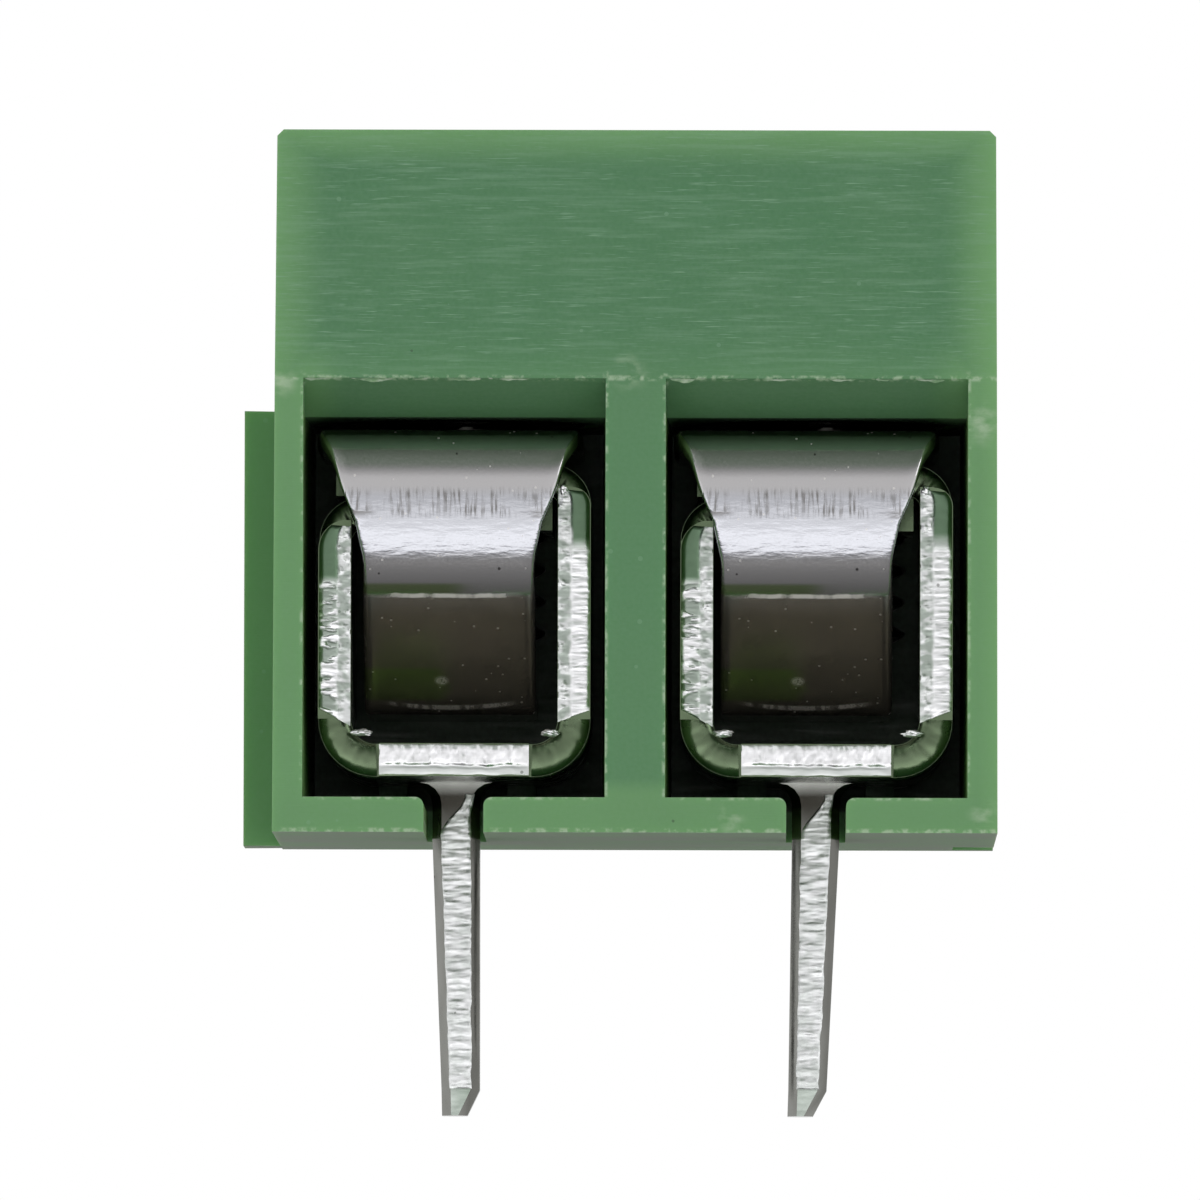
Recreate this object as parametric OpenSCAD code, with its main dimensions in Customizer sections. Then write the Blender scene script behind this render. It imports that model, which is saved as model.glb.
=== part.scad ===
// Two-pole screw terminal block for a circuit board, with a spring guard over each wire.
// Origin: on the board, midway between the poles, on the line of the pins and the screws.
// +X runs along the poles, -Y is the side the wires enter, +Z points up from the board. Millimetres.

/* [Housing] */
// Distance between neighbouring poles
pitch = 5.08; // [5.04:0.02:5.6]
// Thickness of the wall behind the wire entries
back_wall = 1.95; // [1.6:0.05:3]
// Height of the body above the board
body_height = 9.9; // [9.7:0.1:12]
// Distance from the wire side to the line of pins and screws
front_reach = 3.5; // [3.5:0.02:3.7]
// How far the face above the wire entries leans back by the top
front_lean = 0.8; // [0:0.05:1]
// Height of the slope along the top of the back
back_slope_height = 1.8; // [0.5:0.1:3]
// Depth of the slope along the top of the back
back_slope_depth = 0.6; // [0.1:0.1:1]
// Draft of each end face, over the full height
end_draft = 0.03; // [0:0.01:0.08]
// Bevel along the top edges of the end faces
top_bevel = 0.09; // [0.02:0.01:0.2]

/* [Wire entries] */
// Thickness of the floor under a wire entry
floor_thickness = 0.49; // [0.4:0.01:0.8]
// Draft of each side of a wire entry, over its depth
entry_draft = 0.07; // [0:0.01:0.1]
// Height of the slanted lead-in over a wire entry
lead_in_height = 0.52; // [0.2:0.02:0.8]
// Depth of the slanted lead-in
lead_in_depth = 0.7; // [0.3:0.05:0.9]
// Radius of the corners where that slot meets the floor
pin_slot_round = 0.12; // [0.05:0.01:0.2]
// Width of each rib that the cage sits on
seat_rib_width = 0.4; // [0.2:0.05:0.45]
// Distance from the pin line back to the front of those ribs
seat_rib_setback = 0.8; // [0.6:0.1:1.2]

/* [Side rail and groove] */
// How far the rail stands out from the left end
rail_reach = 0.53; // [0.3:0.01:0.55]
// Width of the rail at its outer face
rail_width = 1.2; // [1:0.05:1.3]
// Width of the rail at its root
rail_root = 0.9; // [0.6:0.05:0.95]
// Height of the rail above the board
rail_height = 6.2; // [3:0.1:8]
// Clearance between a rail and the groove it slides into
rail_clearance = 0.05; // [0.02:0.01:0.08]

/* [Cage] */
// Metal left between the screw's hole and each wall of the cage
cage_land = 0.17; // [0.14:0.01:0.24]
// Outer height of the cage
cage_height = 4.44; // [4.4:0.02:4.6]
// Length of the cage along the wire
cage_depth = 5; // [4.4:0.1:5.1]
// Thickness of the cage's sheet
cage_sheet = 0.46; // [0.4:0.01:0.48]
// Outer radius of the lower bends
lower_bend = 0.8; // [0.6:0.02:0.9]
// Outer radius of the upper bends
upper_bend = 0.6; // [0.56:0.01:0.64]
// Height of the cage's underside above the floor
cage_lift = 0.31; // [0.2:0.01:0.4]
// Width of the tab at the front of the cage's bottom
tab_width = 2.1; // [1.6:0.05:2.2]
// How far the bends stand back behind the wall edges and the tab
bend_setback = 0.3; // [0.1:0.05:0.5]
// Distance from the screw's axis to the front of the folded top
top_reach = 1.95; // [1.7:0.05:2]
// Gap between the two layers of the folded top
top_layer_gap = 0.02; // [0.01:0.01:0.05]

/* [Pins] */
// Length of a pin below the body
pin_length = 3.9; // [3:0.1:5]
// Thickness of a pin at the board
pin_thickness = 0.67; // [0.5:0.01:0.7]
// Thickness of a pin at its tip
pin_tip_thickness = 0.54; // [0.4:0.01:0.6]
// Width of a pin, front to back, at the board
pin_width = 1; // [0.8:0.05:1.1]
// Width of a pin, front to back, at its tip
pin_tip_width = 0.8; // [0.6:0.05:0.9]
// Coined bevel along the four edges of a pin
pin_bevel = 0.13; // [0.05:0.01:0.18]
// Length of the cut at the tip of a pin
pin_point = 0.36; // [0.1:0.02:0.6]
// Sideways lean of each pin's tip
pin_lean = [0.08, -0.12]; // [-0.2:0.02:0.2]

/* [Wire guards] */
// Thickness of the guard's spring sheet
guard_sheet = 0.28; // [0.2:0.01:0.3]
// How far each side of the guard stands in from the cage's side
guard_inset = 0.04; // [0.02:0.01:0.2]
// Gap between each side of the guard's tongue and the cage's wall
tongue_side_gap = 0.24; // [0.18:0.01:0.4]
// Height of the tongue's underside over the cage's bottom
tongue_lift = 0.49; // [0.3:0.01:0.7]
// Distance from the guard's front to the wire side
guard_recess = 0.15; // [0.05:0.01:0.3]
// Centreline radius of the bend over the cage's front
guard_hook_radius = 0.6; // [0.5:0.02:0.62]
// Straight length below that bend
guard_drop = 0.1; // [0.04:0.02:0.2]
// Angle of the long curve below it
guard_curve_angle = 40; // [36:1:44]
// Angle of the crease at the end of the long curve
guard_crease_angle = 12; // [8:1:14]
// Length of the flat ramp from the crease to the heel
guard_ramp = 2.36; // [2.1:0.02:2.5]
// Height over which the guard narrows to its tongue
guard_neck = 1.9; // [1.5:0.02:2]
// Height of the guard's underside over the cage's top
guard_rise = 0.16; // [0.02:0.01:0.3]
// Centreline radius of the crease
guard_crease_radius = 0.25; // [0.2:0.01:0.3]
// Centreline radius of the bend before the tongue
guard_heel_radius = 0.4; // [0.3:0.02:0.5]
// Sideways shift of each guard in its play
guard_shift = [-0.08, -0.14]; // [-0.16:0.02:0.16]

/* [Screws] */
// Thread diameter of the screw
screw_d = 2.5; // [2.3:0.05:2.6]
// Diameter of the screw's end face
screw_tip_d = 1.1; // [0.8:0.05:1.2]
// Diameter of the screw's head
head_d = 3.8; // [3.4:0.05:3.9]
// Height of the screw's head
head_height = 1.8; // [1.2:0.1:2]
// Bevel round the top of the head
head_bevel = 0.25; // [0.05:0.05:0.4]
// Width of the slots in the head
slot_width = 0.6; // [0.4:0.05:0.8]
// Depth of the slots in the head
slot_depth = 0.9; // [0.5:0.1:1.1]
// Length of the shorter slot of the cross
cross_length = 2.4; // [1.8:0.1:2.8]

/* [Clearances] */
// Clearance round a screw's head in its well
well_clearance = 0.15; // [0.05:0.01:0.16]
// Clearance round a screw in the cage's thread
thread_clearance = 0.03; // [0.01:0.01:0.08]
// Clearance round a screw in the guard
guard_hole_clearance = 0.15; // [0.1:0.01:0.2]
// Gap between each side of the cage and the back of its wire entry
cage_side_clearance = 0.14; // [0.12:0.01:0.2]
// Gap behind the cage and behind a pin
back_clearance = 0.2; // [0.1:0.05:0.3]
// Gap between each side of a pin and its slot
pin_slot_clearance = 0.085; // [0.05:0.005:0.12]
// Gap between the guard and the cage, the screw and the cage's front
guard_clearance = 0.02; // [0.01:0.01:0.04]
// Gap over the guard, below the body's ceiling
ceiling_clearance = 0.17; // [0.05:0.01:0.4]
// Gap between the guard and the screw's head when the screw is home
head_clearance = 0.16; // [0.05:0.01:0.4]

/* [Hidden] */

poles = 2;
$fn = 64;
bend_steps = 10; // facets in each bend of a folded sheet
cut = 0.1; // how far a cut runs past the face that it opens

screw_hole_r = screw_d / 2 + thread_clearance;
cage_width = 2 * (screw_hole_r + cage_land + cage_sheet);
cage_bottom = floor_thickness + cage_lift;
cage_top = cage_bottom + cage_height;

guard_width = cage_width - 2 * guard_inset;
guard_tongue_width = cage_width - 2 * (cage_sheet + tongue_side_gap);
guard_top = cage_top + guard_rise + guard_sheet;
tongue_z = cage_bottom + cage_sheet + tongue_lift + guard_sheet / 2; // middle of the tongue

// The guard's long curve takes up the height that its other stretches leave.
bow = guard_curve_angle + guard_crease_angle; // slope of the ramp, from upright
curve_top = guard_top - guard_sheet / 2 - guard_hook_radius - guard_drop;
crease_drop = guard_crease_radius * (sin(bow) - sin(guard_curve_angle));
heel_drop = guard_heel_radius * (1 - sin(bow));
curve_drop = curve_top - crease_drop - guard_ramp * cos(bow) - heel_drop - tongue_z;
guard_curve_radius = curve_drop / sin(guard_curve_angle);

front_y = -front_reach;
guard_front = front_y + guard_recess;
cage_front = guard_front + guard_sheet + guard_clearance;
cage_back = cage_front + cage_depth;

entry_back = cage_back + back_clearance;
entry_back_half = cage_width / 2 + cage_side_clearance;
entry_front_half = entry_back_half + entry_draft;
ceiling = guard_top + ceiling_clearance;
ridge = ceiling + lead_in_height; // upper edge of the wire entries
body_width = poles * pitch;
back_y = entry_back + back_wall;
rail_y = entry_back + back_wall / 2;

screw_tip_z = tongue_z + guard_sheet / 2 + guard_clearance;
head_z = guard_top + head_clearance;
well_r = head_d / 2 + well_clearance;

pole_x = [for (k = [0:poles - 1]) (k - (poles - 1) / 2) * pitch];

// ---- folded sheet ----

function turned(v, angle) =
    [v.x * cos(angle) - v.y * sin(angle), v.x * sin(angle) + v.y * cos(angle)];

// One side of a sheet folded step by step, each step being [straight run, turn to the left, bend radius].
// The radius is the centreline's, and side is the distance from the centreline to this side.
function fold_side(steps, side, at, heading, i = 0) =
    i == len(steps) ? [] :
    let (
        forward = turned([1, 0], heading),
        left = turned([0, 1], heading),
        radius = steps[i][2],
        turn = steps[i][1],
        bend = at + steps[i][0] * forward,
        centre = bend + radius * left,
        shown = turn == 0 ? [bend + side * left] :
            [for (k = [0:bend_steps]) centre - (radius - side) * turned(left, turn * k / bend_steps)]
    )
    concat(shown, fold_side(steps, side, centre - radius * turned(left, turn), heading + turn, i + 1));

function reversed(points) = [for (k = [len(points) - 1:-1:0]) points[k]];

module folded_sheet(steps, thickness, at, heading) {
    left = turned([0, 1], heading);
    polygon(concat(
        [at + thickness / 2 * left],
        fold_side(steps, thickness / 2, at, heading),
        reversed(fold_side(steps, -thickness / 2, at, heading)),
        [at - thickness / 2 * left]));
}

// Stands a drawing in X and Z up, running from y_from to y_to.
module along_y(y_from, y_to) {
    translate([0, y_to, 0]) rotate([90, 0, 0]) linear_extrude(y_to - y_from) children();
}

// Stands a drawing in Y and Z up, running width wide across X.
module across_x(width) {
    translate([-width / 2, 0, 0]) rotate([90, 0, 90]) linear_extrude(width) children();
}

// ---- housing ----

module body_side() {
    polygon([
        [front_y, 0], [back_y, 0], [back_y, body_height - back_slope_height],
        [back_y - back_slope_depth, body_height], [front_y + front_lean, body_height], [front_y, ridge]]);
}

module body_end_faces() {
    half = body_width / 2;
    top = half - end_draft;
    polygon([
        [-half, 0], [half, 0], [top, body_height - top_bevel], [top - top_bevel, body_height],
        [top_bevel - top, body_height], [-top, body_height - top_bevel]]);
}

// The chamber behind a wire entry: drafted sides in plan, a slanted lead-in at the top of the mouth.
module wire_entry() {
    intersection() {
        linear_extrude(body_height)
            polygon([
                [-entry_front_half, front_y], [entry_front_half, front_y],
                [entry_back_half, entry_back], [-entry_back_half, entry_back]]);
        across_x(2 * body_width)
            polygon([
                [front_y, floor_thickness], [entry_back, floor_thickness], [entry_back, ceiling],
                [front_y + lead_in_depth, ceiling], [front_y, ridge]]);
    }
    // the open mouth, so that no skin is left on the front face
    along_y(front_y - cut, front_y + cut / 10)
        translate([-entry_front_half, floor_thickness])
            square([2 * entry_front_half, ridge - floor_thickness]);
}

module pin_slot() {
    half = pin_thickness / 2 + pin_slot_clearance;
    along_y(front_y - cut, pin_width / 2 + back_clearance) {
        translate([-half, -cut]) square([2 * half, floor_thickness + 2 * cut]);
        difference() {
            translate([-half - pin_slot_round, floor_thickness - pin_slot_round])
                square([2 * (half + pin_slot_round), pin_slot_round + cut]);
            for (side = [-1, 1])
                translate([side * (half + pin_slot_round), floor_thickness - pin_slot_round])
                    circle(r = pin_slot_round);
        }
    }
}

module seat_ribs() {
    for (side = [-1, 1])
        translate([
            side * (cage_width / 2 - lower_bend - seat_rib_width / 2) - seat_rib_width / 2,
            seat_rib_setback, floor_thickness - cut])
            cube([seat_rib_width, entry_back - seat_rib_setback + cut, cage_lift + cut]);
}

module rail_plan(root, outer, reach) {
    polygon([[0, -root / 2], [0, root / 2], [-reach, outer / 2], [-reach, -outer / 2]]);
}

module side_rail() {
    translate([-body_width / 2 + end_draft, rail_y, 0]) linear_extrude(rail_height)
        rail_plan(rail_root, rail_width, rail_reach + end_draft);
}

module side_groove() {
    spread = 2 * rail_clearance;
    translate([body_width / 2, rail_y, -cut]) linear_extrude(rail_height + rail_clearance + cut) {
        rail_plan(rail_root + spread, rail_width + spread, rail_reach + rail_clearance);
        translate([0, -(rail_root + spread) / 2]) square([cut, rail_root + spread]);
    }
}

module housing() {
    color("#528a59") {
        difference() {
            union() {
                intersection() {
                    across_x(body_width) body_side();
                    along_y(front_y, back_y) body_end_faces();
                }
                side_rail();
            }
            side_groove();
            for (x = pole_x) translate([x, 0, 0]) {
                wire_entry();
                pin_slot();
                translate([0, 0, ceiling - cut])
                    cylinder(r = well_r, h = body_height - ceiling + 2 * cut);
            }
        }
        for (x = pole_x) translate([x, 0, 0]) seat_ribs();
    }
}

// ---- cage: one sheet folded round into a box, with its pin bent down from the bottom ----

module cage_ring() {
    wall_x = (cage_width - cage_sheet) / 2;
    upper = upper_bend - cage_sheet / 2;
    lower = lower_bend - cage_sheet / 2;
    outer_top = cage_top - cage_sheet / 2;
    inner_top = outer_top - cage_sheet - top_layer_gap;
    bottom = cage_bottom + cage_sheet / 2;
    // the lower layer of the top ends where it meets the inside of the right-hand bend
    inside_r = upper_bend - cage_sheet;
    inner_end = wall_x - upper + sqrt(pow(inside_r, 2) - pow(inside_r - top_layer_gap, 2))
        - top_layer_gap;
    folded_sheet([
        [inner_end + wall_x - upper, 90, upper],
        [inner_top - bottom - upper - lower, 90, lower],
        [2 * (wall_x - lower), 90, lower],
        [outer_top - bottom - upper - lower, 90, upper],
        [2 * wall_x - upper, 0, 0]],
        cage_sheet, [inner_end, inner_top], 180);
}

// What is trimmed off the front: the lower bends stand back a little, the folded top further.
module cage_front_trim() {
    wall_end_left = cage_top - cage_sheet - top_layer_gap - upper_bend + cage_sheet / 2;
    wall_end_right = cage_top - upper_bend + cage_sheet / 2;
    side_w = cage_width / 2 - tab_width / 2 + cut;
    for (side = [-1, 1])
        translate([side * (tab_width / 2 + side_w / 2), cage_front + (bend_setback - cut) / 2,
            cage_bottom + (lower_bend - cut) / 2])
            cube([side_w, bend_setback + cut, lower_bend + cut], center = true);
    for (end = [[-1, wall_end_left], [1, wall_end_right]])
        translate([end[0] < 0 ? -cage_width : 0, cage_front - cut, end[1]])
            cube([cage_width, -top_reach - cage_front + cut, cage_height]);
    // between the walls both layers go, with the inside of the bends
    translate([cage_sheet - cage_width / 2, cage_front - cut,
        cage_top - cage_sheet - top_layer_gap - upper_bend])
        cube([cage_width - 2 * cage_sheet, -top_reach - cage_front + cut, cage_height]);
}

// One level of the pin: an oblong with coined corners, leaning sideways towards the tip.
function pin_ring(z, thickness, width, lean) =
    let (x = thickness / 2, y = width / 2, b = pin_bevel, shift = lean * max(0, -z) / pin_length)
    [for (p = [[x, b - y], [x, y - b], [x - b, y], [b - x, y],
               [-x, y - b], [-x, b - y], [b - x, -y], [x - b, -y]]) [p.x + shift, p.y, z]];

// A closed solid through rings of equally many points, the lowest ring first.
module loft(rings) {
    n = len(rings[0]);
    last = len(rings) - 1;
    polyhedron(
        points = [for (ring = rings) each ring],
        faces = concat(
            [[for (k = [0:n - 1]) k]],
            [for (r = [0:last - 1], k = [0:n - 1], half = [0, 1])
                let (a = r * n + k, b = r * n + (k + 1) % n)
                half == 0 ? [a, a + n, b + n] : [a, b + n, b]],
            [[for (k = [n - 1:-1:0]) last * n + k]]));
}

module pin(lean) {
    flare = cage_bottom - floor_thickness; // radius of the fillets where the root widens into the cage
    root = cage_bottom + cage_sheet / 4;
    corner = pin_tip_thickness / 3; // the point is cut slanting, so it loses its right-hand corner
    tip = pin_ring(-pin_length, pin_tip_thickness - corner, pin_tip_width - pin_bevel, lean);
    loft([
        [for (p = tip) p - [corner / 2, 0, 0]],
        pin_ring(pin_point - pin_length, pin_tip_thickness, pin_tip_width, lean),
        pin_ring(0, pin_thickness, pin_width, lean),
        for (a = [0:22.5:90])
            pin_ring(floor_thickness + flare * sin(a), pin_thickness + 2 * flare * (1 - cos(a)), pin_width, lean),
        pin_ring(root, pin_thickness + 2 * flare, pin_width, lean)]);
}

module cage(pole) {
    color("#c9cbc9") translate([pole_x[pole], 0, 0]) {
        difference() {
            along_y(cage_front, cage_back) cage_ring();
            cage_front_trim();
            translate([0, 0, cage_top - 3 * cage_sheet])
                cylinder(r = screw_hole_r, h = 4 * cage_sheet);
        }
        pin(pin_lean[pole]);
    }
}

// ---- wire guard: a spring strip hooked over the cage, bowed down under the screw ----

module guard_side() {
    front = guard_front + guard_sheet / 2;
    back = cage_back - back_clearance;
    folded_sheet([
        [back - guard_hook_radius - front, 90, guard_hook_radius],
        [guard_drop, guard_curve_angle, guard_curve_radius],
        [0, guard_crease_angle, guard_crease_radius],
        [guard_ramp, 90 - bow, guard_heel_radius],
        [screw_d, 0, 0]],
        guard_sheet, [back, guard_top - guard_sheet / 2], 180);
}

// Seen from the wire side: as wide as the cage at the top, drawn in to a tongue that enters it.
module guard_front_outline() {
    top = guard_width / 2;
    tongue = guard_tongue_width / 2;
    // [share of height, share of width], clear of the walls where it enters the cage
    narrowing = [[0, 1], [0.2, 0.72], [0.5, 0.4], [0.68, 0.14], [0.9, 0.05], [1, 0]];
    half = [for (n = narrowing) [tongue + (top - tongue) * n[1], guard_top - guard_neck * n[0]]];
    polygon(concat(
        [[top, guard_top + cut]], half, [[tongue, 0], [-tongue, 0]],
        [for (p = reversed(half)) [-p.x, p.y]], [[-top, guard_top + cut]]));
}

module wire_guard(pole) {
    color("#a9a7a4") translate([pole_x[pole] + guard_shift[pole], 0, 0]) difference() {
        intersection() {
            across_x(guard_width) guard_side();
            union() {
                along_y(front_y, entry_back) guard_front_outline();
                translate([-guard_width / 2, guard_front + guard_sheet, cage_top])
                    cube([guard_width, cage_depth, cage_height]);
            }
        }
        translate([-guard_shift[pole], 0, cage_top - cut])
            cylinder(r = screw_d / 2 + guard_hole_clearance, h = 2 * cut + 2 * guard_sheet);
    }
}

// ---- screw ----

module screw(pole) {
    r = screw_d / 2;
    tip = screw_tip_d / 2;
    head = head_d / 2;
    top = head_z + head_height;
    color("#d8d9d6") translate([pole_x[pole], 0, 0]) difference() {
        rotate_extrude()
            polygon([
                [0, screw_tip_z], [tip, screw_tip_z], [r, screw_tip_z + r - tip], [r, head_z],
                [head - head_bevel / 2, head_z], [head, head_z + head_bevel / 2],
                [head, top - head_bevel], [head - head_bevel, top], [0, top]]);
        translate([-head_d, -slot_width / 2, top - slot_depth])
            cube([2 * head_d, slot_width, slot_depth + cut]);
        translate([-slot_width / 2, -cross_length / 2, top - slot_depth])
            cube([slot_width, cross_length, slot_depth + cut]);
    }
}

housing();
cage(0);  // cage_1
cage(1);  // cage_2
wire_guard(0);  // wire_guard_1
wire_guard(1);  // wire_guard_2
screw(0);  // screw_1
screw(1);  // screw_2
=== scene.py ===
import math

import bmesh
import bpy
from mathutils import Matrix, Vector, noise
from mathutils.kdtree import KDTree


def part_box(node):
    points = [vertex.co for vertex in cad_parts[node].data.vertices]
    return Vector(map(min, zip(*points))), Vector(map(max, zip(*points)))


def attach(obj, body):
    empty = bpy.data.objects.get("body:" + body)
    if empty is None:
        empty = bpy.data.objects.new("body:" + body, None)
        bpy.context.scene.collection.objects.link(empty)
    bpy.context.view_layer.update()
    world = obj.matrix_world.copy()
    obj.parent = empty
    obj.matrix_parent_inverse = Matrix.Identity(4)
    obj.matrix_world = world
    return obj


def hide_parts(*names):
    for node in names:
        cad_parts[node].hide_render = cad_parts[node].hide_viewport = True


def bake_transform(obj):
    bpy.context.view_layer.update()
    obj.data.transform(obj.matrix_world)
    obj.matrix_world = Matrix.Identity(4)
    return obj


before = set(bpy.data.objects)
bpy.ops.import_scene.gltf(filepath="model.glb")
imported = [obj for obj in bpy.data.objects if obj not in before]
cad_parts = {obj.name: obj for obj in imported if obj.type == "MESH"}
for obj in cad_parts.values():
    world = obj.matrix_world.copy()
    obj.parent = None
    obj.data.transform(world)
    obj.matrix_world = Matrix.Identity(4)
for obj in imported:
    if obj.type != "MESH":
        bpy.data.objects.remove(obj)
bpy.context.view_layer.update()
scene = bpy.context.scene
mm = 0.001
poles = ("1", "2")
print("frame loaded:", ", ".join(sorted(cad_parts)))

# Places that the frame gives, in millimetres.


def boxInMillimetres(node):
    low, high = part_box(node)
    return low / mm, high / mm


bodyLow, bodyHigh = boxInMillimetres("housing")
cageLow, cageHigh = boxInMillimetres("cage_1")
guardLow, guardHigh = boxInMillimetres("wire_guard_1")
screwLow, screwHigh = boxInMillimetres("screw_1")
poleX = {}
guardX = {}
for pole in poles:
    low, high = boxInMillimetres("screw_" + pole)
    poleX[pole] = (low.x + high.x) / 2
    low, high = boxInMillimetres("wire_guard_" + pole)
    guardX[pole] = (low.x + high.x) / 2

# Mesh helpers: everything is made in millimetres and shrunk at the end.


def makePiece(name, points, faces):
    mesh = bpy.data.meshes.new(name)
    mesh.from_pydata(points, [], faces)
    mesh.update()
    piece = bpy.data.objects.new(name, mesh)
    scene.collection.objects.link(piece)
    return piece


def ringFaces(rows, size, flip=False):
    # quads between neighbouring rings of points, with a face over each end
    faces = []
    for a in range(rows * size):
        n = a + 1 if (a + 1) % size else a + 1 - size
        faces.append((a, a + size, n + size, n) if flip else (a, n, n + size, a + size))
    return faces + [tuple(range(size - 1, -1, -1)), tuple(range(rows * size, (rows + 1) * size))]


def cleanUp(piece, flatAngle=0.0):
    work = bmesh.new()
    work.from_mesh(piece.data)
    bmesh.ops.remove_doubles(work, verts=work.verts, dist=1e-4)
    if flatAngle:
        bmesh.ops.dissolve_limit(work, angle_limit=math.radians(flatAngle), verts=work.verts, edges=work.edges)
    bmesh.ops.recalc_face_normals(work, faces=work.faces)
    work.to_mesh(piece.data)
    work.free()


def copyNode(node, name):
    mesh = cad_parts[node].data.copy()
    mesh.transform(Matrix.Scale(1 / mm, 4))
    mesh.materials.clear()
    mesh.name = name
    piece = bpy.data.objects.new(name, mesh)
    scene.collection.objects.link(piece)
    cleanUp(piece, flatAngle=0.4)
    return piece


def applyModifiers(piece):
    graph = bpy.context.evaluated_depsgraph_get()
    mesh = bpy.data.meshes.new_from_object(piece.evaluated_get(graph))
    piece.modifiers.clear()
    piece.data = mesh


def bevelEdges(piece, width, angle=35, segments=2):
    bevel = piece.modifiers.new("bevel", "BEVEL")
    bevel.width = width
    bevel.segments = segments
    bevel.limit_method = "ANGLE"
    bevel.angle_limit = math.radians(angle)
    bevel.use_clamp_overlap = True
    bevel.harden_normals = True
    for face in piece.data.polygons:
        face.use_smooth = True
    applyModifiers(piece)
    for face in piece.data.polygons:
        face.use_smooth = face.area < 1.2 and len(face.vertices) < 7


def smoothShade(piece, sharpAngle=35):
    for face in piece.data.polygons:
        face.use_smooth = True
    piece.data.set_sharp_from_angle(angle=math.radians(sharpAngle))


def cutAway(piece, cutter):
    cut = piece.modifiers.new("cut", "BOOLEAN")
    cut.operation = "DIFFERENCE"
    cut.solver = "EXACT"
    cut.object = cutter
    applyModifiers(piece)
    bpy.data.objects.remove(cutter)


def markPoints(piece, title, values):
    piece.data.attributes.new(title, "FLOAT", "POINT").data.foreach_set("value", values)


def shrink(piece, material):
    piece.data.transform(Matrix.Scale(mm, 4))
    piece.data.materials.clear()
    piece.data.materials.append(material)


def joinPieces(target, *others):
    with bpy.context.temp_override(active_object=target, selected_editable_objects=[target, *others]):
        bpy.ops.object.join()


def ripple(x, y, z=0.0, octaves=3):
    return noise.fractal(Vector((x, y, z)), 0.9, 2.1, octaves)


def cosOf(degrees):
    return math.cos(math.radians(degrees))


def sinOf(degrees):
    return math.sin(math.radians(degrees))


def ease(low, high, value):
    t = min(1.0, max(0.0, (value - low) / (high - low)))
    return t * t * (3 - 2 * t)


# Shader helpers.


def put(tree, kind, options=None, inputs=None):
    node = tree.nodes.new("ShaderNode" + kind)
    for key, value in (options or {}).items():
        setattr(node, key, value)
    for key, value in (inputs or {}).items():
        if isinstance(value, bpy.types.NodeSocket):
            tree.links.new(value, node.inputs[key])
        else:
            node.inputs[key].default_value = value
    return node


def calc(tree, operation, a, b=0.0):
    return put(tree, "Math", {"operation": operation}, {0: a, 1: b}).outputs[0]


def times(tree, first, *others):
    for value in others:
        first = calc(tree, "MULTIPLY", first, value)
    return first


def largest(tree, first, *others):
    for value in others:
        first = calc(tree, "MAXIMUM", first, value)
    return first


def rescale(tree, value, low, high, toLow=0.0, toHigh=1.0, smooth=False):
    kind = "SMOOTHSTEP" if smooth else "LINEAR"
    node = put(tree, "MapRange", {"interpolation_type": kind, "clamp": True},
               {"Value": value, "From Min": low, "From Max": high, "To Min": toLow, "To Max": toHigh})
    return node.outputs["Result"]


def zone(tree, place, limits, toLow=0.0, toHigh=1.0, smooth=False):
    return rescale(tree, place, limits[0] * mm, limits[1] * mm, toLow, toHigh, smooth)  # limits in millimetres


def mixColour(tree, amount, a, b):
    return put(tree, "Mix", {"data_type": "RGBA"}, {0: amount, 6: a, 7: b}).outputs[2]


def colour(r, g, b):
    return (r, g, b, 1.0)


def attribute(tree, title):
    return put(tree, "Attribute", {"attribute_name": title}).outputs["Fac"]


def distanceTo(tree, position, place):
    return put(tree, "VectorMath", {"operation": "DISTANCE"}, {0: position, 1: place}).outputs["Value"]


def newGroup(name, inputs, outputs):
    tree = bpy.data.node_groups.new(name, "ShaderNodeTree")
    for label, default in inputs.items():
        kind = "NodeSocketFloat" if isinstance(default, float) else "NodeSocketVector"
        socket = tree.interface.new_socket(name=label, in_out="INPUT", socket_type=kind)
        if default is not None:
            socket.default_value = default
    for label in outputs:
        tree.interface.new_socket(name=label, in_out="OUTPUT", socket_type="NodeSocketFloat")
    return tree, tree.nodes.new("NodeGroupInput").outputs, tree.nodes.new("NodeGroupOutput").inputs


def useGroup(tree, group, **inputs):
    return put(tree, "Group", {"node_tree": group}, inputs).outputs


# Streaks or grain: noise drawn out along the axes by the stretch, cut between two levels.
grain, given, result = newGroup(
    "grain", {"Position": None, "Stretch": (1, 1, 1), "Detail": 3.0, "Low": 0.4, "High": 0.6}, ["Mask", "Height"])
stretched = put(grain, "VectorMath", {"operation": "MULTIPLY"}, {0: given["Position"], 1: given["Stretch"]})
cloud = put(grain, "TexNoise", {}, {"Vector": stretched.outputs[0], "Scale": 1.0, "Detail": given["Detail"]})
grain.links.new(rescale(grain, cloud.outputs["Fac"], given["Low"], given["High"]), result["Mask"])
grain.links.new(cloud.outputs["Fac"], result["Height"])

# Sparse specks of dust or pits.
specks, given, result = newGroup("specks", {"Position": None, "Scale": 1000.0, "Size": 0.1, "Share": 0.3}, ["Mask"])
cells = put(specks, "TexVoronoi", {}, {"Vector": given["Position"], "Scale": given["Scale"]})
chosen = calc(specks, "LESS_THAN", put(specks, "SeparateColor", {}, {0: cells.outputs["Color"]}).outputs[0],
              given["Share"])
nearBy = calc(specks, "LESS_THAN", cells.outputs["Distance"], given["Size"])
specks.links.new(times(specks, chosen, nearBy), result["Mask"])

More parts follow.
